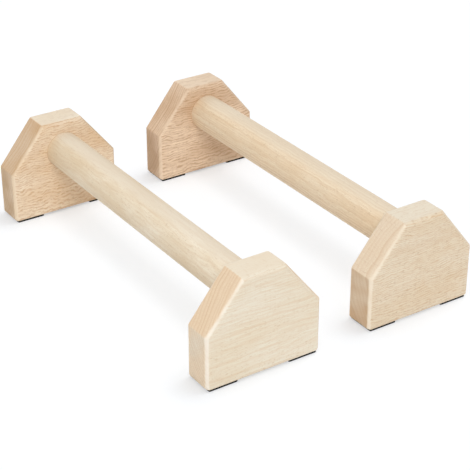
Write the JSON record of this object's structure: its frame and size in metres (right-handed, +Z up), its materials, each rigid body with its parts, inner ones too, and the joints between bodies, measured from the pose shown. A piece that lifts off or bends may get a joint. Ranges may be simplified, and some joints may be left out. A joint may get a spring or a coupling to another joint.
{
  "type": "parallette bars",
  "caption": "Low wooden parallette bars, each a round grip bar held between hexagonal end blocks on thin rubber pads, for floor gymnastics.",
  "frame": {"origin": "on the floor, midway between the bars and midway along them", "axes": "+Y along the bars from their front ends to their rear ends, +X from the left bar to the right bar, +Z up"},
  "size_m": [0.295, 0.4, 0.102],
  "materials": {
    "block_wood": "sanded beech, clear matte finish",
    "bar_wood": "sanded beech dowel, clear matte finish",
    "pad_rubber": "matte black rubber",
    "pad_tape": "double-sided adhesive tape",
    "wood_glue": "cured wood glue",
    "screw_steel": "zinc-plated steel"
  },
  "bodies": {
    "left_bar": {"left_grip_bar": "bar_wood", "left_front_block": "block_wood", "left_front_socket_glue": "wood_glue", "left_front_lock_screw": "screw_steel", "left_front_inner_pad": "pad_rubber", "left_front_inner_pad_tape": "pad_tape", "left_front_outer_pad": "pad_rubber", "left_front_outer_pad_tape": "pad_tape", "left_rear_block": "block_wood", "left_rear_socket_glue": "wood_glue", "left_rear_lock_screw": "screw_steel", "left_rear_inner_pad": "pad_rubber", "left_rear_inner_pad_tape": "pad_tape", "left_rear_outer_pad": "pad_rubber", "left_rear_outer_pad_tape": "pad_tape"},
    "right_bar": {"right_grip_bar": "bar_wood", "right_front_block": "block_wood", "right_front_socket_glue": "wood_glue", "right_front_lock_screw": "screw_steel", "right_front_inner_pad": "pad_rubber", "right_front_inner_pad_tape": "pad_tape", "right_front_outer_pad": "pad_rubber", "right_front_outer_pad_tape": "pad_tape", "right_rear_block": "block_wood", "right_rear_socket_glue": "wood_glue", "right_rear_lock_screw": "screw_steel", "right_rear_inner_pad": "pad_rubber", "right_rear_inner_pad_tape": "pad_tape", "right_rear_outer_pad": "pad_rubber", "right_rear_outer_pad_tape": "pad_tape"}
  },
  "joints": [
    {"name": "bar_spacing", "type": "slide", "parent": "left_bar", "child": "right_bar", "axis": [1, 0, 0], "range_m": [-0.05, 0.325]}
  ]
}
